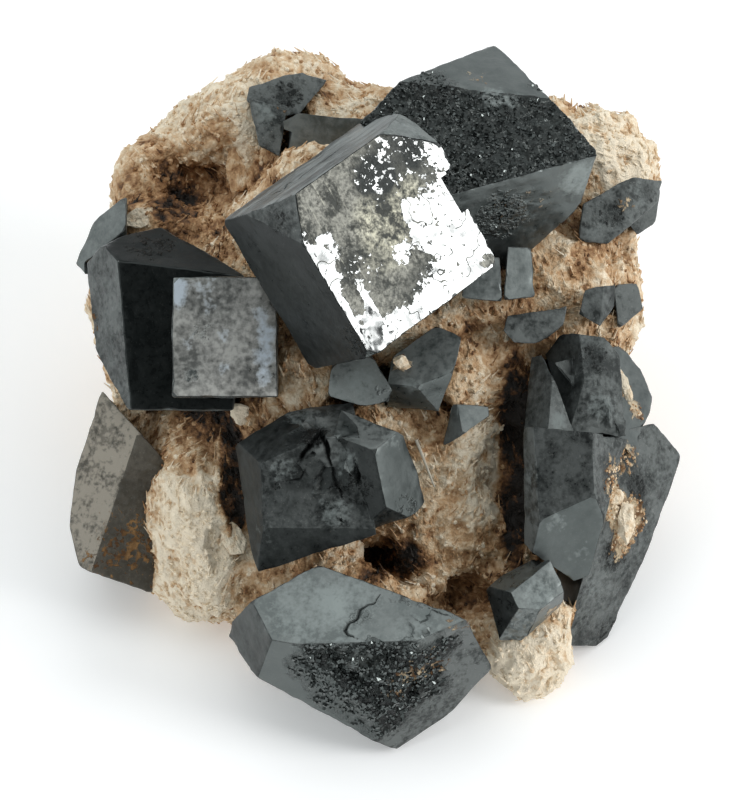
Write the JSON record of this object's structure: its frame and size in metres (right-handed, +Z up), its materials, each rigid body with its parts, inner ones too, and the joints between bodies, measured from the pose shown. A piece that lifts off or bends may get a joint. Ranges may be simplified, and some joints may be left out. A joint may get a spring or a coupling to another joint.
{
  "type": "perovskite specimen",
  "caption": "Thumbnail mineral specimen: black cube-like perovskite crystals with submetallic faces, grown on a tan, granular and fibrous matrix that is broken off flat underneath.",
  "frame": {"origin": "centre of the footprint box, on the surface that the specimen rests on", "axes": "+Z up from the flat underside; the crystal-bearing face is tilted back 40 degrees and looks along -Y and +Z; +X to its right"},
  "size_m": [0.0236, 0.0268, 0.0185],
  "materials": {
    "black_crystal": "submetallic to adamantine, smooth on the clean cube faces and granular on the broken ones",
    "tan_matrix": "matt, granular and fibrous, cream to rusty brown"
  },
  "bodies": {
    "root": {"great_cubes": "black_crystal", "left_cubes": "black_crystal", "rim_crystal": "black_crystal", "lower_left_crystal": "black_crystal", "centre_cluster": "black_crystal", "centre_pair": "black_crystal", "small_triangle_crystal": "black_crystal", "small_block_left": "black_crystal", "small_block_right": "black_crystal", "lens_crystal": "black_crystal", "right_small_crystal": "black_crystal", "right_edge_crystal": "black_crystal", "upper_right_crystals": "black_crystal", "top_left_crystals": "black_crystal", "behind_front_cube_crystal": "black_crystal", "right_cluster": "black_crystal", "lower_right_crystal": "black_crystal", "bottom_crystal": "black_crystal", "matrix": "tan_matrix"}
  },
  "joints": []
}
